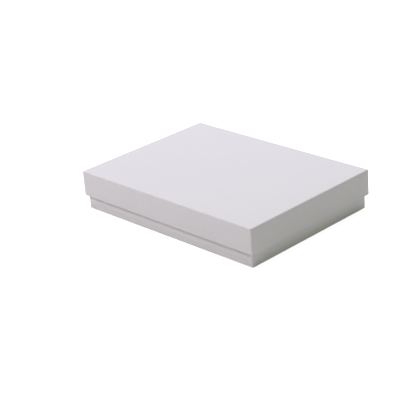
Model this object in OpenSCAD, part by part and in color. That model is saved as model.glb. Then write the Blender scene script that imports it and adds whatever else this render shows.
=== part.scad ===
// Two-piece set-up jewellery gift box, in millimetres, shown closed.
// A scored chipboard tray makes the base and a shallower one makes the lid. Gummed tape stays hold their
// corners, a sheet of paper covers each of them and turns in over its rim, and a fibre pad fills the base.
// The origin is under the middle of the base. X runs along the long side, and -Y is the front.

/* [Lid] */
// Length of the lid over its paper, left to right
lid_w = 138; // [80:1:200]
// Width of the lid over its paper, front to back
lid_d = 100; // [60:1:150]
// Depth of the lid over its paper, from its top to its lower edge
lid_h = 15.6; // [12:0.1:30]

/* [Base] */
// Height of the base that shows under the closed lid
reveal = 8.7; // [4:0.1:30]
// Play between the base and the lining of the lid, on each side
lid_play = 0.5; // [0.2:0.05:1.2]
// Gap between the rim of the base and the inside of the closed lid
seat_gap = 0.05; // [0.02:0.01:0.3]

/* [Chipboard] */
// Thickness of the board
board_t = 0.9; // [0.6:0.05:1.5]
// Width of the slit where two walls meet at a corner
butt_gap = 0.1; // [0.05:0.01:0.3]

/* [Covering paper] */
// Thickness of the paper
paper_t = 0.13; // [0.08:0.01:0.25]
// Radius of the covered corners, seen from above
corner_r = 0.8; // [0.6:0.05:1.2]
// Radius of the covered fold round the top of the lid and the foot of the base
fold_r = 0.6; // [0.4:0.05:0.75]
// Depth of the paper that turns in over the rim
turn_in = 10; // [4:0.5:10]
// Distance that the free edge of a turned-in flap stops short of the corner
mitre = 3; // [1:0.5:6]

/* [Corner stays] */
// Thickness of the gummed tape
stay_t = 0.12; // [0.08:0.01:0.2]
// Width of tape on each side of a corner
stay_wing = 11; // [6:0.5:20]
// Bare board left at both ends of the tape
stay_trim = 1; // [0.7:0.1:3]

/* [Fibre pad] */
// Distance from the rim of the base down to the pad
pad_drop = 5; // [4:0.5:9]
// Gap between the pad and the paper round it
pad_play = 0.3; // [0.1:0.05:1]
// Radius of the pad's corners and of its upper edge
pad_r = 2.5; // [1:0.5:4]

/* [Hidden] */

// One panel is a board with paper on its outside, and a rim also has paper on its inside.
panel_t = paper_t + board_t;
rim_t = board_t + 2 * paper_t;

closed_h = reveal + lid_h;
base_w = lid_w - 2 * (rim_t + lid_play);
base_d = lid_d - 2 * (rim_t + lid_play);
base_h = closed_h - panel_t - seat_gap;

pad_w = base_w - 2 * (rim_t + pad_play);
pad_d = base_d - 2 * (rim_t + pad_play);
pad_h = base_h - panel_t - pad_drop;

past = 1; // how far a cutting shape runs past what it cuts
$fn = 48;

// A rectangle about the origin with round corners.
module plan(w, d, r) {
    square([w - 2 * r, d], center = true);
    square([w, d - 2 * r], center = true);
    for (x = [-1, 1], y = [-1, 1]) translate([x * (w / 2 - r), y * (d / 2 - r)]) circle(r);
}

// The upright section of a block of width w, whose foot is round and whose top is square.
module section(w, h, r) {
    translate([-w / 2, r]) square([w, h - r]);
    translate([r - w / 2, 0]) square([w - 2 * r, h]);
    for (x = [-1, 1]) translate([x * (w / 2 - r), r]) circle(r);
}

// A block that stands on z = 0, with radius r at its upright corners and radius f round its foot.
module block(w, d, h, r, f) {
    intersection() {
        linear_extrude(h) plan(w, d, r);
        rotate([90, 0, 0]) linear_extrude(d + 2 * past, center = true) section(w, h, f);
        rotate([90, 0, 90]) linear_extrude(w + 2 * past, center = true) section(d, h, f);
    }
}

// The outside of a tray's board, under paper whose outside is w by d by h.
module board_block(w, d, h) {
    translate([0, 0, paper_t])
        block(w - 2 * paper_t, d - 2 * paper_t, h - 2 * paper_t, corner_r - paper_t, fold_r - paper_t);
}

// The tape on the corner at side x, y of a tray, let into the face of its board.
module stay(w, d, h, x, y) {
    bw = w - 2 * paper_t;
    bd = d - 2 * paper_t;
    br = corner_r - paper_t;
    foot = paper_t + stay_trim;
    translate([0, 0, foot])
        linear_extrude(h - foot - stay_trim - paper_t)
            intersection() {
                difference() {
                    plan(bw, bd, br);
                    plan(bw - 2 * stay_t, bd - 2 * stay_t, br - stay_t);
                }
                translate([x * (bw - stay_wing) / 2, y * (bd - stay_wing) / 2])
                    square(stay_wing, center = true);
            }
}

// The scored and folded board of a tray, with its closed face at the foot.
module board(w, d, h) {
    in_w = w - 2 * panel_t;
    in_d = d - 2 * panel_t;
    difference() {
        board_block(w, d, h);
        translate([0, 0, panel_t + h / 2]) cube([in_w, in_d, h], center = true);
        for (x = [-1, 1], y = [-1, 1]) {
            // The end walls stop just short of the front and back walls.
            translate([x * (in_w + board_t) / 2, y * (in_d - butt_gap) / 2, panel_t + h / 2])
                cube([board_t + past, butt_gap, h], center = true);
            stay(w, d, h, x, y);
        }
    }
}

// One turned-in flap, upright along X, whose fold is run long and whose free edge is shorter by the mitres.
module flap(run, h) {
    rotate([90, 0, 0])
        linear_extrude(paper_t, center = true)
            polygon([
                [-run / 2, h - paper_t / 2],
                [-run / 2, h - paper_t],
                [mitre - run / 2, h - turn_in],
                [run / 2 - mitre, h - turn_in],
                [run / 2, h - paper_t],
                [run / 2, h - paper_t / 2]
            ]);
}

// The paper that covers a tray outside, goes over its rim and turns in.
module wrap(w, d, h) {
    mouth_w = w - 2 * rim_t;
    mouth_d = d - 2 * rim_t;
    difference() {
        block(w, d, h, corner_r, fold_r);
        board_block(w, d, h);
        translate([0, 0, h]) cube([mouth_w, mouth_d, 4 * paper_t], center = true);
    }
    for (side = [-1, 1]) {
        translate([0, side * (mouth_d + paper_t) / 2, 0]) flap(mouth_w, h);
        translate([side * (mouth_w + paper_t) / 2, 0, 0]) rotate([0, 0, 90]) flap(mouth_d, h);
    }
}

// Turns a tray over, so that its closed face is the top of the closed box.
module as_lid() {
    translate([0, 0, closed_h]) mirror([0, 0, 1]) children();
}

module base_board() {
    color("gainsboro") board(base_w, base_d, base_h);
}

module base_stay(x, y) {
    color("tan") stay(base_w, base_d, base_h, x, y);
}

module base_wrap() {
    color("white") wrap(base_w, base_d, base_h);
}

module fibre_pad() {
    color("snow")
        translate([0, 0, panel_t + pad_h])
            mirror([0, 0, 1])
                block(pad_w, pad_d, pad_h, pad_r, pad_r);
}

module lid_board() {
    color("gainsboro") as_lid() board(lid_w, lid_d, lid_h);
}

module lid_stay(x, y) {
    color("tan") as_lid() stay(lid_w, lid_d, lid_h, x, y);
}

module lid_wrap() {
    color("white") as_lid() wrap(lid_w, lid_d, lid_h);
}

base_board();
base_stay(-1, -1);  // base_stay_front_left
base_stay(1, -1);  // base_stay_front_right
base_stay(-1, 1);  // base_stay_back_left
base_stay(1, 1);  // base_stay_back_right
base_wrap();
fibre_pad();
lid_board();
lid_stay(-1, -1);  // lid_stay_front_left
lid_stay(1, -1);  // lid_stay_front_right
lid_stay(-1, 1);  // lid_stay_back_left
lid_stay(1, 1);  // lid_stay_back_right
lid_wrap();
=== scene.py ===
import math

import bmesh
import bpy
from bpy.props import FloatProperty, FloatVectorProperty, IntProperty, PointerProperty
from mathutils import Matrix, Vector, noise


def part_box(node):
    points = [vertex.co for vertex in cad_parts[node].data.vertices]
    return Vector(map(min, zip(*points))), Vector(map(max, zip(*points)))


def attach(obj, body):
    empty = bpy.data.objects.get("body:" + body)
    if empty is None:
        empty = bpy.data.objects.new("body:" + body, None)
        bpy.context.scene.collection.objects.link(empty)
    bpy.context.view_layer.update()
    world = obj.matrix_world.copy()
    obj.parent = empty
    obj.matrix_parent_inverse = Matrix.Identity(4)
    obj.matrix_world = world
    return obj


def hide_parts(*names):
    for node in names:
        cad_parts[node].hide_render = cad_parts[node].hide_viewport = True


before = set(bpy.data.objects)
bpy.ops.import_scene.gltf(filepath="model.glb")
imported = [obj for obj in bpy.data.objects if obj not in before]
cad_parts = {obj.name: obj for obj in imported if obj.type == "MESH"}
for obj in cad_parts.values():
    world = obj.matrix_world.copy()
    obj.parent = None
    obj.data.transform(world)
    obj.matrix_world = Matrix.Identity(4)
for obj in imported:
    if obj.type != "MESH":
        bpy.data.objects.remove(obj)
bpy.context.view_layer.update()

bl_info = {
    "name": "Set-up Jewelry Gift Box",
    "version": (1, 0, 0),
    "blender": (4, 5, 0),
    "location": "3D View > Sidebar > Gift Box",
    "description": "Covers the boards of a set-up gift box with paper and fills its base with a fibre pad",
    "category": "Object",
}

MM = 0.001
LID_LOW, LID_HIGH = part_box("lid_wrap")
BASE_LOW, BASE_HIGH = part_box("base_wrap")
PAD_LOW, PAD_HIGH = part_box("fibre_pad")
PAD_MIDDLE = (PAD_LOW + PAD_HIGH) / 2
PAPER = LID_HIGH.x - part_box("lid_board")[1].x  # thickness


# Settings


class CoverSettings(bpy.types.PropertyGroup):
    """Sizes and colour of the covering paper."""

    board: FloatProperty(
        name="Board thickness", description="Thickness of the chipboard under the paper",
        default=0.9 * MM, min=0.5 * MM, max=2 * MM, unit="LENGTH")
    corner: FloatProperty(
        name="Corner radius", description="Radius of the upright corners over the paper",
        default=0.8 * MM, min=0.6 * MM, max=2 * MM, unit="LENGTH")
    fold: FloatProperty(
        name="Fold radius", description="Radius of the fold round the closed face",
        default=0.6 * MM, min=0.4 * MM, max=0.75 * MM, unit="LENGTH")
    turn_in: FloatProperty(
        name="Turn-in", description="Depth of the paper that turns in over the rim",
        default=10 * MM, min=4 * MM, max=12 * MM, unit="LENGTH")
    mitre: FloatProperty(
        name="Mitre", description="Distance that a flap's free edge stops short of the corner",
        default=3 * MM, min=1 * MM, max=6 * MM, unit="LENGTH")
    lap_inset: FloatProperty(
        name="Lap inset", description="Distance from a corner to the cut edge of the end panel",
        default=1.1 * MM, min=0.9 * MM, max=3 * MM, unit="LENGTH")
    ear: FloatProperty(
        name="Ear width", description="Width of the ear that each long side turns round the corner",
        default=10 * MM, min=5 * MM, max=20 * MM, unit="LENGTH")
    crown: FloatProperty(
        name="Crown", description="Rise of the paper over the middle of the lid",
        default=0.16 * MM, min=0, max=0.5 * MM, unit="LENGTH")
    white: FloatVectorProperty(
        name="Paper white", description="Colour of the covering paper",
        default=(0.870, 0.850, 0.872), min=0, max=1, subtype="COLOR")


class BoardSettings(bpy.types.PropertyGroup):
    """Colours of the chipboard and of the tape on its corners."""

    grey: FloatVectorProperty(
        name="Chipboard", description="Colour of the bare board",
        default=(0.50, 0.455, 0.39), min=0, max=1, subtype="COLOR")
    kraft: FloatVectorProperty(
        name="Kraft tape", description="Colour of the gummed tape",
        default=(0.42, 0.27, 0.15), min=0, max=1, subtype="COLOR")


class PadSettings(bpy.types.PropertyGroup):
    """Shape, colour and loose fibres of the pad."""

    white: FloatVectorProperty(
        name="Fibre white", description="Colour of the bonded fibre",
        default=(0.94, 0.94, 0.935), min=0, max=1, subtype="COLOR")
    puff: FloatProperty(
        name="Puff", description="Furthest that the pad may swell from its cut shape",
        default=1.3 * MM, min=0, max=4 * MM, unit="LENGTH")
    strands: IntProperty(
        name="Loose strands", description="Number of loose fibres on the pad",
        default=2000, min=0, max=6000)
    strand_length: FloatProperty(
        name="Strand length", description="Length of a loose fibre",
        default=8 * MM, min=1 * MM, max=30 * MM, unit="LENGTH")
    strand_radius: FloatProperty(
        name="Strand radius", description="Radius of a loose fibre",
        default=0.02 * MM, min=0.01 * MM, max=0.2 * MM, unit="LENGTH")


class StudioSettings(bpy.types.PropertyGroup):
    """Camera, lights and floor."""

    lens: FloatProperty(
        name="Lens", description="Focal length of the camera, in millimetres",
        default=108.5, min=20, max=300)
    yaw: FloatProperty(
        name="Yaw", description="Direction that the camera looks in, turned from the box's long side",
        default=math.radians(136.59), subtype="ANGLE")
    pitch: FloatProperty(
        name="Pitch", description="Angle that the camera looks down at",
        default=math.radians(24.05), subtype="ANGLE")
    roll: FloatProperty(
        name="Roll", description="Tilt of the camera about its line of sight",
        default=math.radians(-4.46), subtype="ANGLE")
    distance: FloatProperty(
        name="Distance", description="How far away the camera stands, in lengths of the lid",
        default=5.39623, min=1, max=20)
    aside: FloatProperty(
        name="Aside", description="How far the camera stands to the left of the box, in lengths of the lid",
        default=0.07675, min=-1, max=1)
    above: FloatProperty(
        name="Above", description="How far the camera is lifted, in lengths of the lid",
        default=0.00106, min=-1, max=1)
    sky: FloatVectorProperty(
        name="Sky", description="Colour and strength of the even light from all round",
        default=(0.214, 0.227, 0.165), min=0, max=10, subtype="COLOR")
    top: FloatVectorProperty(
        name="Top light", description="Colour and strength of the soft box above and behind, in watts",
        default=(3.52, 3.50, 4.085), min=0, max=100, subtype="COLOR")
    left: FloatVectorProperty(
        name="Left light", description="Colour and strength of the soft box at the front left, in watts",
        default=(3.75, 3.44, 3.91), min=0, max=100, subtype="COLOR")
    floor: FloatProperty(
        name="Floor", description="Share of the light that the floor gives back",
        default=0.94, min=0, max=1)


# Node helpers


class Value:
    """A socket's value, which may vary over a surface. Arithmetic on it adds Math nodes."""

    def __init__(self, graph, socket):
        self.graph, self.socket = graph, socket

    def other(self, name):
        """Another output of the node that gives this value."""
        return Value(self.graph, self.socket.node.outputs[name])

    def _math(self, operation, first, second):
        return self.graph.add("ShaderNodeMath", {"operation": operation}, {0: first, 1: second})

    def __add__(self, other):
        return self._math("ADD", self, other)

    def __radd__(self, other):
        return self._math("ADD", other, self)

    def __sub__(self, other):
        return self._math("SUBTRACT", self, other)

    def __rsub__(self, other):
        return self._math("SUBTRACT", other, self)

    def __mul__(self, other):
        return self._math("MULTIPLY", self, other)

    def __rmul__(self, other):
        return self._math("MULTIPLY", other, self)


class Graph:
    """A node tree under construction, for a material or for a shape."""

    def __init__(self, tree):
        self.tree = tree

    def add(self, kind, settings=None, sockets=None, output=0):
        """Adds a node: its settings first, then its sockets, each by its name or its number."""
        node = self.tree.nodes.new(kind)
        for key, value in (settings or {}).items():
            if key == "stops":
                ramp = node.color_ramp
                while len(ramp.elements) < len(value):
                    ramp.elements.new(0.5)
                for element, (position, colour) in zip(ramp.elements, value):
                    element.position, element.color = position, colour
            else:
                setattr(node, key, value)
        for key, value in (sockets or {}).items():
            if isinstance(key, str):
                self.feed(next(i for i in node.inputs if i.name == key and i.enabled), value)
            else:
                self.feed(node.inputs[key], value)
        return Value(self, node.outputs[output]) if node.outputs else None

    def feed(self, socket, value):
        """Links a Value to a socket, or sets the socket to a constant."""
        if isinstance(value, Value):
            self.tree.links.new(value.socket, socket)
        else:
            socket.default_value = value


class Finish(Graph):
    """A material under construction: one Principled shader and the nodes that feed it."""

    def __init__(self, name, **constants):
        self.material = bpy.data.materials.new(name)
        self.material.use_nodes = True
        super().__init__(self.material.node_tree)
        self.shader = self.tree.nodes["Principled BSDF"]
        for socket, value in constants.items():
            self.shader.inputs[socket.replace("_", " ")].default_value = value

    def place(self, centre=(0, 0, 0), grain=(1, 1, 1), turn=(0, 0, 0)):
        """Object coordinates about a centre, turned, and drawn out along each axis by its grain."""
        spot = self.add("ShaderNodeTexCoord", output="Object")
        return self.add("ShaderNodeMapping", {"vector_type": "TEXTURE"}, {
            "Vector": spot, "Location": tuple(centre), "Rotation": turn, "Scale": grain})

    def noise(self, where, scale, detail=3.0, roughness=0.55, distortion=0.0):
        """Fractal noise from 0 to 1."""
        return self.add("ShaderNodeTexNoise", {}, {
            "Vector": where,
            "Scale": scale,
            "Detail": detail,
            "Roughness": roughness,
            "Distortion": distortion,
        })

    def ramp(self, factor, low, high):
        """Stretches the part of a factor between low and high to 0 to 1."""
        stops = [(low, (0, 0, 0, 1)), (high, (1, 1, 1, 1))]
        return self.add("ShaderNodeValToRGB", {"stops": stops}, {"Fac": factor})

    def mix(self, factor, a, b):
        """Mixes two colours."""
        return self.add("ShaderNodeMix", {"data_type": "RGBA"}, {0: factor, 6: a, 7: b}, output=2)

    def bump(self, height, strength, distance, below=None):
        """A bump, over the bump below it if there is one."""
        sockets = {"Strength": strength, "Distance": distance, "Height": height}
        if below is not None:
            sockets["Normal"] = below
        return self.add("ShaderNodeBump", {}, sockets)

    def finish(self, colour, roughness, normal=None):
        """Feeds the shader and gives the finished material."""
        self.feed(self.shader.inputs["Base Color"], colour)
        self.feed(self.shader.inputs["Roughness"], roughness)
        if normal is not None:
            self.feed(self.shader.inputs["Normal"], normal)
        return self.material


def tint(colour, by=1.0):
    """A colour with full alpha, brightened or darkened."""
    return tuple(min(1.0, c * by) for c in colour) + (1.0,)


def cover_paper(name, white, centre):
    """Smooth uncoated white paper over board: fine tooth, faint cloudy formation, and creases that are
    smoother as if burnished and painted lighter as a painted highlight.
    """
    f = Finish(name, Specular_IOR_Level=0.32)
    where = f.place(centre)
    tooth = f.noise(where, 4200.0, 3.0, 0.65)
    formation = f.noise(where, 260.0, 4.0, 0.55)
    cloud = f.noise(where, 34.0, 2.0, 0.5)
    strands = f.noise(f.place(centre, (6, 1, 2), (0.2, 0.1, 0.6)), 5400.0, 2.0, 0.5, 1.2)
    crease = f.add("ShaderNodeAttribute", {"attribute_name": "crease"}, output="Fac")
    colour = f.mix(formation * 0.5 + cloud * 0.5, tint(white, 0.975), tint(white, 1.015))
    colour = f.mix(f.ramp(strands, 0.6, 0.72) * 0.3, colour, tint(white, 0.92))
    # Painted highlight: folds, the rim and upright corners are painted lighter, as where a rounded fold
    # catches the light.
    colour = f.mix(crease * (0.2 + formation * 0.5), colour, tint(white, 1.06))
    normal = f.bump(cloud, 0.25, 0.00012)
    normal = f.bump(formation, 0.3, 0.00006, normal)
    normal = f.bump(tooth * 0.7 + strands * 0.5, 0.5, 0.00003, normal)
    return f.finish(colour, 0.58 + formation * 0.12 + tooth * 0.06 - crease * 0.14, normal)


def chipboard(name, grey, centre):
    """Bare recycled board: grey-brown pulp with dark and light flecks and short fibres."""
    f = Finish(name, Specular_IOR_Level=0.25)
    where = f.place(centre)
    pulp = f.noise(where, 420.0, 5.0, 0.65)
    cloud = f.noise(where, 60.0, 3.0, 0.5)
    fleck = f.noise(where, 1300.0, 2.0, 0.5, 0.6)
    fibre = f.noise(f.place(centre, (5, 1, 1), (0.3, 0.2, 0.9)), 5500.0, 2.0, 0.5, 1.0)
    colour = f.mix(pulp, tint(grey, 0.86), tint(grey, 1.14))
    colour = f.mix(f.ramp(fleck, 0.66, 0.72) * 0.7, colour, tint(grey, 0.42))
    colour = f.mix(f.ramp(fibre, 0.64, 0.72) * 0.5, colour, tint(grey, 1.45))
    colour = f.mix(cloud * 0.25, colour, tint(grey, 1.1))
    normal = f.bump(pulp, 0.5, 0.00008)
    normal = f.bump(fibre + fleck * 0.5, 0.4, 0.00004, normal)
    return f.finish(colour, 0.82 + pulp * 0.12, normal)


def kraft_tape(name, kraft, centre):
    """Brown gummed paper tape with long fibres along its length."""
    f = Finish(name, Specular_IOR_Level=0.3)
    fibre = f.noise(f.place(centre, (1, 1, 6)), 3000.0, 4.0, 0.6, 0.4)
    streak = f.noise(f.place(centre, (1, 1, 12)), 3100.0, 2.0, 0.5)
    colour = f.mix(fibre, tint(kraft, 0.8), tint(kraft, 1.2))
    colour = f.mix(streak * 0.3, colour, tint(kraft, 1.35))
    return f.finish(colour, 0.7 + fibre * 0.15, f.bump(fibre, 0.4, 0.00003))


def batting(name, white, centre, clear):
    """Carded white fibre: fine streaks and drawn-out wads along the pad, and thick and thin places, whose
    colour is painted darker where their bumps are low, as painted shade in the hollows.
    """
    f = Finish(name, Specular_IOR_Level=0.1, Sheen_Weight=0.3, Sheen_Roughness=0.6,
               Subsurface_Weight=clear, Subsurface_Scale=0.0012, Subsurface_Radius=(1.0, 1.0, 1.0))
    thick = f.noise(f.place(centre, (1.6, 1, 1)), 90.0, 3.0, 0.5, 0.3)
    wad = f.noise(f.place(centre, (3.5, 1, 1), (0, 0, 0.15)), 360.0, 4.0, 0.6, 0.8)
    carded = f.noise(f.place(centre, (9, 1, 1), (0, 0, 0.22)), 1500.0, 5.0, 0.65, 0.5)
    crossed = f.noise(f.place(centre, (7, 1, 1), (0, 0, -0.5)), 1200.0, 5.0, 0.65, 0.7)
    fluff = f.noise(f.place(centre), 1400.0, 3.0, 0.6)
    fibres = carded * 0.6 + crossed * 0.4
    # Painted shade: each mix below makes the fibre darker where its matching bump is low, for shade in the
    # hollows.
    colour = f.mix(f.ramp(fibres, 0.38, 0.62), tint(white, 0.955), tint(white, 1.03))
    colour = f.mix(f.ramp(wad, 0.36, 0.56), tint(white, 0.92), colour)
    colour = f.mix(f.ramp(thick, 0.3, 0.55), tint(white, 0.97), colour)
    normal = f.bump(thick, 0.4, 0.0008)
    normal = f.bump(wad, 0.6, 0.0009, normal)
    normal = f.bump(fibres, 0.55, 0.0003, normal)
    normal = f.bump(fluff, 0.4, 0.00008, normal)
    return f.finish(colour, 0.9 + fibres * 0.08, normal)


# Mesh helpers


def give(piece, material):
    """Makes a material the only one on a piece."""
    piece.data.materials.clear()
    piece.data.materials.append(material)


def add_piece(name, mesh):
    """Puts a mesh into the scene as an object of its own."""
    piece = bpy.data.objects.new(name, mesh)
    bpy.context.scene.collection.objects.link(piece)
    return piece


def make_piece(name, bm):
    """Turns a finished bmesh into an object in the scene."""
    mesh = bpy.data.meshes.new(name)
    bm.to_mesh(mesh)
    bm.free()
    return add_piece(name, mesh)


def settle(piece):
    """Makes what a piece's modifiers give its plain mesh, and removes them."""
    depsgraph = bpy.context.evaluated_depsgraph_get()
    made = bpy.data.meshes.new_from_object(piece.evaluated_get(depsgraph))
    piece.modifiers.clear()
    piece.data = made


def smooth(piece):
    """Shades every face of a piece smooth."""
    for polygon in piece.data.polygons:
        polygon.use_smooth = True


def ease(x, low, high):
    """Smoothly 0 to 1 as x goes from low to high."""
    t = min(1.0, max(0.0, (x - low) / (high - low)))
    return t * t * (3 - 2 * t)


# Covers


def arc(count):
    """Angles inside a quarter turn, without its ends."""
    return [math.pi / 2 * k / count for k in range(1, count)]


def spread(half, extra, step):
    """Rising places from -half to half: even steps, and extra places measured in from both ends."""
    inner = half - max(extra)
    count = max(2, round(2 * inner / step))
    middle = [-inner + 2 * inner * k / count for k in range(1, count)]
    edge = sorted(half - e for e in extra)
    return [-e for e in reversed(edge)] + middle + edge


class Tray:
    """One sheet of paper round a tray of board, whose closed face lies at z = 0 and whose rim stands up."""

    CELL = 4 * MM  # longest cell of the mesh along a wall
    CORNER_STEPS = 6
    FOLD_STEPS = 6
    RIM_STEPS = 4
    RIM_SOFT = 0.25 * MM  # radius of the paper over both edges of the rim
    FLAP_ROOT = 0.3 * MM  # depth of a turned-in flap right in the corner
    LAP_RISE = 0.085 * MM  # how far an end panel stands out over the ear beneath it

    def __init__(self, size, crown, settings):
        s = settings
        self.a, self.b, self.h = size.x / 2, size.y / 2, size.z
        self.crown = crown
        self.corner, self.fold = s.corner, s.fold
        self.turn_in, self.mitre, self.lap_inset, self.ear = s.turn_in, s.mitre, s.lap_inset, s.ear
        self.rim = s.board + 2 * PAPER
        # Extra lines of points, measured in from where a wall meets its corner. An end wall has more of
        # them, at the cut edge of its panel and over the edge of the ear beneath it.
        near = [0.0, 0.12 * MM, 0.6 * MM, 1.6 * MM, 3.4 * MM]
        cut, ear = s.lap_inset - s.corner, s.ear - s.corner
        laps = [0.0, 0.12 * MM, cut - 0.03 * MM, cut + 0.03 * MM, cut + 0.3 * MM, 2.2 * MM, 4.2 * MM]
        laps += [ear - 0.8 * MM, ear, ear + 0.8 * MM, ear + 1.6 * MM]
        self.along_x = spread(self.a - s.corner, near, self.CELL)
        self.along_y = spread(self.b - s.corner, laps, self.CELL)
        self.bm = bmesh.new()
        # The crease attribute marks folds, the rim and upright corners; the paper finish paints them lighter
        # as a painted highlight and makes them smoother.
        self.crease = self.bm.verts.layers.float.new("crease")

    def lap(self, side, along, z):
        """How far an end panel's paper stands out over the ear beneath it."""
        if side % 2 == 0:
            return 0.0
        inward = self.b - abs(along)
        raised = ease(inward, self.lap_inset - 0.02 * MM, self.lap_inset + 0.02 * MM)
        raised *= 1 - ease(inward, self.ear - 0.7 * MM, self.ear + 1.5 * MM)
        return self.LAP_RISE * raised * ease(z, 0.15 * MM, 1.2 * MM)

    def bow(self, x, y, z):
        """How far a covered wall stands out, with a bow that fades at its ends and faint ripples."""
        on_long_wall = abs(y) > self.b - 2 * self.rim
        across = 1 - (x / self.a) ** 4 if on_long_wall else 1 - (y / self.b) ** 4
        ripple = noise.noise(Vector((x * 38, y * 38, z * 60 + self.h * 900)))
        return (0.05 * across + 0.022 * ripple + 0.02) * MM * ease(z, 0.4 * MM, 3 * MM)

    def flap_depth(self, from_corner):
        """How deep a turned-in flap is at a distance from the corner, where its end is mitred."""
        return min(self.turn_in, self.FLAP_ROOT + from_corner * self.turn_in / self.mitre)

    def ring(self, inset, z, depth, proud):
        """Gives the points of a loop round the tray, and whether each is on an upright corner.

        depth is how far down its turned-in flap each point lies, from 0 to 1. A proud loop is on the outside,
        where the paper laps and bows.
        """
        a, b = self.a - inset, self.b - inset
        r = max(self.corner - inset, 0.12 * MM)
        for side in range(4):
            half, across, stations = ((a, b, self.along_x), (b, a, self.along_y))[side % 2]
            outer = (self.a, self.b)[side % 2] - self.corner
            cos, sin = math.cos(side * math.pi / 2), math.sin(side * math.pi / 2)
            row = [(t * (half - r) / outer, -across) for t in stations]
            bend = arc(self.CORNER_STEPS)
            row += [(half - r + r * math.sin(q), -across + r - r * math.cos(q)) for q in bend]
            for k, (u, v) in enumerate(row):
                on_wall = k < len(stations)
                drop = depth * (self.flap_depth(half - abs(u)) if on_wall else self.FLAP_ROOT)
                if proud and on_wall:
                    v -= self.lap(side, u, z)
                x, y = u * cos - v * sin, u * sin + v * cos
                if proud:
                    facing = Vector((sin, -cos)) if on_wall else Vector((x, y)).normalized()
                    swell = self.bow(x, y, z)
                    x, y = x + facing.x * swell, y + facing.y * swell
                yield (x, y, z - drop), k == 0 or k >= len(stations) - 1

    def add_ring(self, inset, z, depth=0.0, proud=False, folded=False):
        """Adds a loop of points, and marks the ones on a fold or on an upright corner as creased."""
        loop = []
        for point, on_corner in self.ring(inset, z, depth, proud):
            v = self.bm.verts.new(point)
            v[self.crease] = 1.0 if folded or on_corner else 0.0
            loop.append(v)
        return loop

    def skin(self, first, second):
        """Quads between two loops of the same length."""
        for i in range(len(first)):
            j = (i + 1) % len(first)
            self.bm.faces.new([first[i], first[j], second[j], second[i]])

    def rise(self, x, y, crown):
        """How far the paper stands up over the closed face."""
        if not crown:
            return 0.0
        ripple = 0.5 + noise.noise(Vector((x * 26, y * 26, self.h * 700)))
        return crown * (1 - (x / self.a) ** 2) * (1 - (y / self.b) ** 2) + ripple * 0.03 * MM

    def face(self, ring, z, crown, flip=False):
        """Fills a loop with a grid, with a fan at each corner."""
        xs, ys = self.along_x, self.along_y
        pull = 1 - 0.25 * MM / self.a
        grid = [[self.bm.verts.new((x * pull, y * pull, z - self.rise(x, y, crown))) for x in xs] for y in ys]
        flips = slice(None, None, -1) if flip else slice(None)
        for j in range(len(ys) - 1):
            for i in range(len(xs) - 1):
                self.bm.faces.new([grid[j][i], grid[j + 1][i], grid[j + 1][i + 1], grid[j][i + 1]][flips])
        edges = [grid[0], [row[-1] for row in grid], grid[-1][::-1], [row[0] for row in grid][::-1]]
        start = 0
        for edge in edges:
            count = len(edge)
            loop = [ring[(start + k) % len(ring)] for k in range(count + self.CORNER_STEPS)]
            for k in range(count - 1):
                self.bm.faces.new([loop[k], edge[k], edge[k + 1], loop[k + 1]][flips])
            for k in range(count - 1, count + self.CORNER_STEPS - 1):
                self.bm.faces.new([loop[k], edge[-1], loop[k + 1]][flips])
            start += count + self.CORNER_STEPS - 1

    def seen_side(self):
        """Inset and height of each loop round the fold, up the wall and over the rim."""
        h, f, rim, soft = self.h, self.fold, self.rim, self.RIM_SOFT
        margin = 0.2 * MM
        rows = max(3, round(h / (2.6 * MM)))
        bend = arc(self.RIM_STEPS)
        loops = [(f, 0.0)]
        loops += [(f * (1 - math.sin(q)), f * (1 - math.cos(q))) for q in arc(self.FOLD_STEPS)]
        loops += [(0.0, f), (0.0, f + margin)]
        loops += [(0.0, f + margin + (h - f - soft - 2 * margin) * k / rows) for k in range(1, rows + 1)]
        loops += [(soft * (1 - math.cos(q)), h - soft * (1 - math.sin(q))) for q in [0.0] + bend]
        loops += [(soft, h), (soft + margin / 2, h), (rim - soft - margin / 2, h), (rim - soft, h)]
        loops += [(rim - soft * (1 - math.sin(q)), h - soft * (1 - math.cos(q))) for q in bend]
        return loops

    def glued_side(self):
        """Inset and height of each loop under the rim, down the wall and round the fold."""
        p, h, f = PAPER, self.h, self.fold
        bend = 0.05 * MM
        loops = [(self.rim - p - bend, h - p), (p + bend, h - p), (p, h - p - bend), (p, f)]
        loops += [(p + (f - p) * (1 - math.cos(q)), f - (f - p) * math.sin(q)) for q in arc(3)]
        return loops + [(f, p)]

    def build(self, name, upside_down, top):
        """Makes the closed sheet, seen side first, and turns it over for a lid."""
        lip = self.h - self.RIM_SOFT
        rings = []
        for inset, z in self.seen_side():
            folded = z < self.fold * 0.9 or z > lip and 0 < inset < self.rim
            rings.append(self.add_ring(inset, z, proud=inset < self.rim / 2, folded=folded))
        rings += [self.add_ring(self.rim, lip, depth) for depth in (0.001, 0.2, 0.5, 0.8, 0.985, 1.0)]
        rings += [self.add_ring(self.rim - PAPER, lip, depth) for depth in (1.0, 0.5, 0.001)]
        rings += [self.add_ring(inset, z) for inset, z in self.glued_side()]
        for first, second in zip(rings, rings[1:]):
            self.skin(first, second)
        self.face(rings[0], 0.0, self.crown)
        self.face(rings[-1], PAPER, 0.0, flip=True)
        if upside_down:
            for v in self.bm.verts:
                v.co = (v.co.x, -v.co.y, top - v.co.z)
        bmesh.ops.recalc_face_normals(self.bm, faces=self.bm.faces)
        piece = make_piece(name, self.bm)
        smooth(piece)
        return piece


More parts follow.
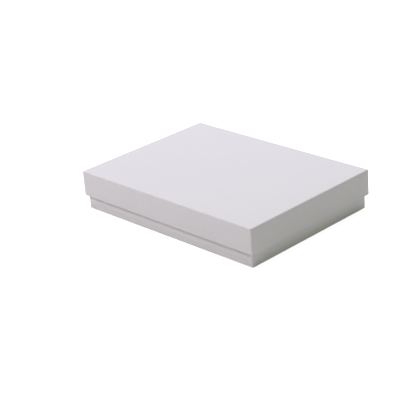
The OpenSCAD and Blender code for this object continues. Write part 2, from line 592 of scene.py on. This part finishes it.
class GIFTBOX_OT_covers(bpy.types.Operator):
    """Cover the lid and the base with paper"""

    bl_idname = "giftbox.covers"
    bl_label = "Paper Covers"
    bl_options = {"REGISTER", "UNDO"}

    def execute(self, context):
        settings = context.scene.giftbox_cover
        for node, body, low, high, crown in (
            ("lid_wrap", "lid", LID_LOW, LID_HIGH, settings.crown),
            ("base_wrap", "base", BASE_LOW, BASE_HIGH, 0.0),
        ):
            tray = Tray(high - low, crown, settings)
            piece = tray.build(body + "_cover", body == "lid", high.z)
            give(piece, cover_paper(body + "_paper", settings.white, (low + high) / 2))
            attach(piece, body)
            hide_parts(node)
        return {"FINISHED"}


class GIFTBOX_OT_boards(bpy.types.Operator):
    """Give the boards bare chipboard and the corner stays kraft tape"""

    bl_idname = "giftbox.boards"
    bl_label = "Boards and Stays"
    bl_options = {"REGISTER", "UNDO"}

    def execute(self, context):
        settings = context.scene.giftbox_board
        for name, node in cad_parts.items():
            low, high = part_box(name)
            if name.endswith("_board"):
                give(node, chipboard(name + "_finish", settings.grey, (low + high) / 2))
            elif "_stay_" in name:
                give(node, kraft_tape(name + "_finish", settings.kraft, (low + high) / 2))
        return {"FINISHED"}


# Pad


SWELL_FRAMES = 20
# How far each shape of strand bends at its two ends, in radians
BENDS = ((0.5, 0.6), (0.9, -0.8), (1.3, 1.1), (-0.3, 1.4), (1.7, 0.2), (-0.7, 0.4))
HANDLE = 0.65  # length of the handles that bend a strand, in strand lengths
STRAND_STEPS = 7
STRAND_SIDES = 3


def slab(name, low, high, step):
    """A closed block of even square cells with soft edges."""
    bm = bmesh.new()
    bmesh.ops.create_cube(bm, size=1.0)
    size, middle = high - low, (high + low) / 2
    for v in bm.verts:
        v.co = Vector((v.co.x * size.x, v.co.y * size.y, v.co.z * size.z)) + middle
    piece = make_piece(name, bm)
    soften = piece.modifiers.new("soften", "BEVEL")
    soften.width, soften.segments = 3.2 * MM, 4
    cells = piece.modifiers.new("cells", "REMESH")
    cells.mode, cells.voxel_size = "VOXEL", step
    settle(piece)
    return piece


def swell(piece, limit):
    """Blows the slab up a little as cloth, and keeps each point within limit of where it was."""
    rest = [v.co.copy() for v in piece.data.vertices]
    cloth = piece.modifiers.new("swell", "CLOTH")
    cloth.settings.quality = 5
    cloth.settings.mass = 0.2
    cloth.settings.use_pressure = True
    cloth.settings.uniform_pressure_force = 4.0
    cloth.settings.tension_stiffness = cloth.settings.compression_stiffness = 6.0
    cloth.settings.effector_weights.gravity = 0.0
    cloth.point_cache.frame_start, cloth.point_cache.frame_end = 1, SWELL_FRAMES
    scene = bpy.context.scene
    for number in range(1, SWELL_FRAMES + 1):
        scene.frame_set(number)
    settle(piece)
    scene.frame_set(1)
    for v, start in zip(piece.data.vertices, rest):
        move = v.co - start
        if move.length > limit:
            move *= limit / move.length
        v.co = start + move


def fluff_up(mesh):
    """Moves the surface of the pad into soft lumps and fine wisps, and into layers down its cut sides."""
    edge = PAD_HIGH - Vector((0.03, 0.03, 0)) * MM
    foot, top = PAD_LOW.z + 0.02 * MM, PAD_HIGH.z + 0.35 * MM
    normals = [v.normal.copy() for v in mesh.vertices]
    for v, normal in zip(mesh.vertices, normals):
        x, y, z = v.co
        lift = ease(z, PAD_LOW.z + 2 * MM, PAD_HIGH.z - 4 * MM)
        lump = noise.fractal(Vector((x * 38, y * 55, z * 90)), 1.0, 2.0, 3)
        wisp = noise.noise(Vector((x * 90 + y * 30, y * 330, z * 300 + 7)))
        layer = math.sin((z - PAD_LOW.z) / (1.35 * MM) + 3 * noise.noise(v.co * 55)) * (1 - abs(normal.z))
        x, y, z = v.co + normal * (lump * 0.8 * lift + wisp * 0.12 * lift + layer * 0.16 - 0.1) * MM
        v.co = (max(-edge.x, min(edge.x, x)), max(-edge.y, min(edge.y, y)), max(foot, min(top, z)))


class GIFTBOX_OT_pad(bpy.types.Operator):
    """Fill the base with a pad of bonded fibre"""

    bl_idname = "giftbox.pad"
    bl_label = "Fibre Pad"
    bl_options = {"REGISTER", "UNDO"}

    def execute(self, context):
        settings = context.scene.giftbox_pad
        low = PAD_LOW + Vector((0.25, 0.25, 0.02)) * MM
        high = PAD_HIGH - Vector((0.25, 0.25, 1.0)) * MM
        piece = slab("fibre_batting", low, high, 1.8 * MM)
        swell(piece, settings.puff)
        finer = piece.modifiers.new("finer", "SUBSURF")
        finer.levels = finer.render_levels = 1
        settle(piece)
        fluff_up(piece.data)
        smooth(piece)
        give(piece, batting("batting", settings.white, PAD_MIDDLE, 0.3))
        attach(piece, "pad")
        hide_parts("fibre_pad")
        return {"FINISHED"}


def strand_tree(material):
    """Short bent strands, scattered over the top of a pad, turned at random and tucked in at both ends."""
    tree = bpy.data.node_groups.new("loose_strands", "GeometryNodeTree")
    for flow in ("INPUT", "OUTPUT"):
        tree.interface.new_socket("Geometry", in_out=flow, socket_type="NodeSocketGeometry")
    for name, kind in (("Density", "Float"), ("Length", "Float"), ("Radius", "Float"), ("Seed", "Int")):
        tree.interface.new_socket(name, in_out="INPUT", socket_type="NodeSocket" + kind)
    g = Graph(tree)
    given = g.add("NodeGroupInput")
    length, seed = given.other("Length"), given.other("Seed")

    def chance(kind, low, high, its_seed):
        """A random number for each strand."""
        output = {"FLOAT": 1, "INT": 2}[kind]
        sockets = {"Min": low, "Max": high, "Seed": its_seed}
        return g.add("FunctionNodeRandomValue", {"data_type": kind}, sockets, output)

    section = g.add("GeometryNodeCurvePrimitiveCircle", {}, {
        "Resolution": STRAND_SIDES, "Radius": given.other("Radius")})
    bent = g.add("GeometryNodeJoinGeometry")
    for start, end in BENDS:
        line = g.add("GeometryNodeCurvePrimitiveBezierSegment", {}, {
            "Resolution": STRAND_STEPS,
            "Start": (-0.5, 0, -0.02),
            "Start Handle": (HANDLE * math.cos(start) - 0.5, HANDLE * math.sin(start), 0.06),
            "End Handle": (0.5 - HANDLE * math.cos(end), HANDLE * math.sin(end), 0.05),
            "End": (0.5, 0, -0.02),
        })
        sized = g.add("GeometryNodeTransform", {}, {"Geometry": line, "Scale": length})
        tube = g.add("GeometryNodeCurveToMesh", {}, {
            "Curve": sized, "Profile Curve": section, "Fill Caps": True})
        g.feed(bent.socket.node.inputs[0], g.add("GeometryNodeGeometryToInstance", {}, {"Geometry": tube}))

    up = g.add("ShaderNodeSeparateXYZ", {}, {0: g.add("GeometryNodeInputNormal")}).other("Z")
    upward = g.add("FunctionNodeCompare", {"operation": "GREATER_THAN"}, {"A": up, "B": 0.35})
    points = g.add("GeometryNodeDistributePointsOnFaces", {}, {
        "Mesh": given, "Selection": upward, "Density": given.other("Density"), "Seed": seed})
    turned = g.add("FunctionNodeRotateEuler", {"rotation_type": "AXIS_ANGLE", "space": "LOCAL"}, {
        "Rotation": points.other("Rotation"),
        "Axis": (0, 0, 1),
        "Angle": chance("FLOAT", 0.0, 2 * math.pi, seed),
    })
    placed = g.add("GeometryNodeInstanceOnPoints", {}, {
        "Points": points,
        "Instance": bent,
        "Pick Instance": True,
        "Instance Index": chance("INT", 0, len(BENDS) - 1, seed + 1),
        "Rotation": turned,
        "Scale": chance("FLOAT", 0.45, 1.3, seed + 2),
    })
    real = g.add("GeometryNodeRealizeInstances", {}, {"Geometry": placed})
    done = g.add("GeometryNodeSetMaterial", {}, {"Geometry": real, "Material": material})
    g.add("NodeGroupOutput", {}, {"Geometry": done})
    return tree


def keep_in(mesh, count, low, high):
    """Shifts each strand, which has count points, whole, until it lies between low and high."""
    for first in range(0, len(mesh.vertices), count):
        strand = mesh.vertices[first:first + count]
        for axis in range(3):
            places = [v.co[axis] for v in strand]
            shift = max(0, low[axis] - min(places)) - max(0, max(places) - high[axis])
            for v in strand:
                v.co[axis] += shift


class GIFTBOX_OT_strands(bpy.types.Operator):
    """Scatter loose strands over the pad"""

    bl_idname = "giftbox.strands"
    bl_label = "Loose Strands"
    bl_options = {"REGISTER", "UNDO"}

    def execute(self, context):
        settings = context.scene.giftbox_pad
        pad = bpy.data.objects.get("fibre_batting")
        if pad is None:
            raise RuntimeError("make the fibre pad before its loose strands")
        material = batting("strand_fibre", settings.white, PAD_MIDDLE, 1.0)
        piece = add_piece("loose_strands", pad.data.copy())
        scatter = piece.modifiers.new("strands", "NODES")
        scatter.node_group = strand_tree(material)
        size = PAD_HIGH - PAD_LOW
        values = {
            "Density": settings.strands / (size.x * size.y),
            "Length": settings.strand_length,
            "Radius": settings.strand_radius,
            "Seed": 11,
        }
        for item in scatter.node_group.interface.items_tree:
            if item.in_out == "INPUT" and item.name in values:
                scatter[item.identifier] = values[item.name]
        settle(piece)
        give(piece, material)
        count = STRAND_SIDES * (STRAND_STEPS + 1)
        keep_in(piece.data, count, PAD_LOW, PAD_HIGH + Vector((0, 0, 0.75)) * MM)
        piece.visible_shadow = False  # light passes through a single fibre
        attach(piece, "pad")
        return {"FINISHED"}


# Stage


AIM = Vector((0, 0, 0.01))  # near the middle of the closed box
STUDIO_RADIUS = 8.0


def soft_box(name, place, side, watts):
    """A square soft light that points at the box. Its watts are given for red, green and blue."""
    data = bpy.data.lights.new(name, "AREA")
    data.shape, data.size = "SQUARE", side
    data.energy = max(watts)
    data.color = [w / data.energy for w in watts]
    lamp = bpy.data.objects.new(name, data)
    bpy.context.scene.collection.objects.link(lamp)
    lamp.location = place
    lamp.rotation_mode = "QUATERNION"
    lamp.rotation_quaternion = (AIM - Vector(place)).to_track_quat("-Z", "Y")


def stage_piece(name, bm, material, seen):
    """A floor or backdrop, seen either by the camera alone or by everything else."""
    piece = make_piece(name, bm)
    give(piece, material)
    piece.visible_camera = seen
    piece.visible_diffuse = piece.visible_glossy = piece.visible_transmission = not seen
    piece.visible_shadow = False


def ground():
    """A wide round floor."""
    bm = bmesh.new()
    bmesh.ops.create_circle(bm, cap_ends=True, segments=48, radius=STUDIO_RADIUS)
    return bm


def dome():
    """A ball round the whole studio, whose faces point inwards."""
    bm = bmesh.new()
    bmesh.ops.create_uvsphere(bm, u_segments=32, v_segments=16, radius=STUDIO_RADIUS)
    bmesh.ops.reverse_faces(bm, faces=bm.faces)
    return bm


def pale(name, shade, glow):
    """A pale even finish with very faint clouds, which gives off light of its own."""
    f = Finish(name, Specular_IOR_Level=0.05, Emission_Strength=1.0)
    f.feed(f.shader.inputs["Emission Color"], tint(glow))
    cloud = f.noise(f.place(), 3.0, 2.0)
    return f.finish(f.mix(cloud, tint((shade,) * 3, 0.99), tint((shade,) * 3, 1.01)), 0.9)


class GIFTBOX_OT_stage(bpy.types.Operator):
    """Set up the floor, the soft lights and the camera"""

    bl_idname = "giftbox.stage"
    bl_label = "Stage"
    bl_options = {"REGISTER", "UNDO"}

    def execute(self, context):
        scene, settings = context.scene, context.scene.giftbox_studio
        self.surroundings(scene, settings)
        soft_box("top_light", (-0.1, 0.4, 0.8), 0.25, settings.top)
        soft_box("left_light", (-0.42, -0.55, 0.72), 0.28, settings.left)
        self.camera(scene, settings)
        scene.view_settings.view_transform = "Standard"
        scene.view_settings.look = "None"
        return {"FINISHED"}

    def surroundings(self, scene, settings):
        """The floor that the camera sees, the one that throws light back, the backdrop and the sky."""
        glow = [1 - settings.floor * c for c in settings.sky]  # makes the floor white where no lamp reaches
        stage_piece("floor", ground(), pale("sweep", settings.floor, glow), True)
        stage_piece("floor_bounce", ground(), pale("bounce", 0.88, (0, 0, 0)), False)
        stage_piece("backdrop", dome(), pale("backdrop", 0.0, (1, 1, 1)), True)
        world = bpy.data.worlds.new("studio")
        world.use_nodes = True
        sky = world.node_tree.nodes["Background"]
        sky.inputs["Color"].default_value = tint(settings.sky)
        sky.inputs["Strength"].default_value = 1.0
        scene.world = world

    def camera(self, scene, settings):
        """The camera, placed from the origin by its angles and by lengths of the lid."""
        data = bpy.data.cameras.new("camera")
        data.lens, data.sensor_width = settings.lens, 36.0
        data.clip_start, data.clip_end = 0.01, 50.0
        camera = bpy.data.objects.new("camera", data)
        scene.collection.objects.link(camera)
        yaw, pitch, roll = settings.yaw, settings.pitch, settings.roll
        ahead = Vector((math.cos(yaw) * math.cos(pitch), math.sin(yaw) * math.cos(pitch), -math.sin(pitch)))
        level = Vector((math.sin(yaw), -math.cos(yaw), 0))
        upright = level.cross(ahead)
        right = level * math.cos(roll) + upright * math.sin(roll)
        up = upright * math.cos(roll) - level * math.sin(roll)
        length = LID_HIGH.x - LID_LOW.x
        place = (up * settings.above - right * settings.aside - ahead * settings.distance) * length
        camera.matrix_world = Matrix.Translation(place) @ Matrix((right, up, -ahead)).transposed().to_4x4()
        scene.camera = camera


# Panel and registration


class GIFTBOX_PT_panel(bpy.types.Panel):
    """The gift box's settings and steps"""

    bl_idname = "GIFTBOX_PT_panel"
    bl_label = "Gift Box"
    bl_space_type = "VIEW_3D"
    bl_region_type = "UI"
    bl_category = "Gift Box"

    def draw(self, context):
        for title, group, steps in GROUPS:
            box = self.layout.box()
            box.label(text=title)
            settings = getattr(context.scene, group)
            for key in settings.__annotations__:
                box.prop(settings, key)
            for step in steps:
                box.operator(step.bl_idname)


GROUPS = (
    ("Covers", "giftbox_cover", (GIFTBOX_OT_covers,)),
    ("Boards", "giftbox_board", (GIFTBOX_OT_boards,)),
    ("Pad", "giftbox_pad", (GIFTBOX_OT_pad, GIFTBOX_OT_strands)),
    ("Studio", "giftbox_studio", (GIFTBOX_OT_stage,)),
)
SETTINGS = {
    "giftbox_cover": CoverSettings,
    "giftbox_board": BoardSettings,
    "giftbox_pad": PadSettings,
    "giftbox_studio": StudioSettings,
}
STEPS = (GIFTBOX_OT_covers, GIFTBOX_OT_boards, GIFTBOX_OT_pad, GIFTBOX_OT_strands, GIFTBOX_OT_stage)
CLASSES = (*SETTINGS.values(), *STEPS, GIFTBOX_PT_panel)


def register():
    for cls in CLASSES:
        bpy.utils.register_class(cls)
    for name, group in SETTINGS.items():
        setattr(bpy.types.Scene, name, PointerProperty(type=group))


def unregister():
    for name in SETTINGS:
        delattr(bpy.types.Scene, name)
    for cls in reversed(CLASSES):
        bpy.utils.unregister_class(cls)


def main():
    """Registers the add-on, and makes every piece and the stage."""
    register()
    for step in STEPS:
        area, name = step.bl_idname.split(".")
        getattr(getattr(bpy.ops, area), name)()
    bpy.context.view_layer.update()


if __name__ == "__main__":
    main()
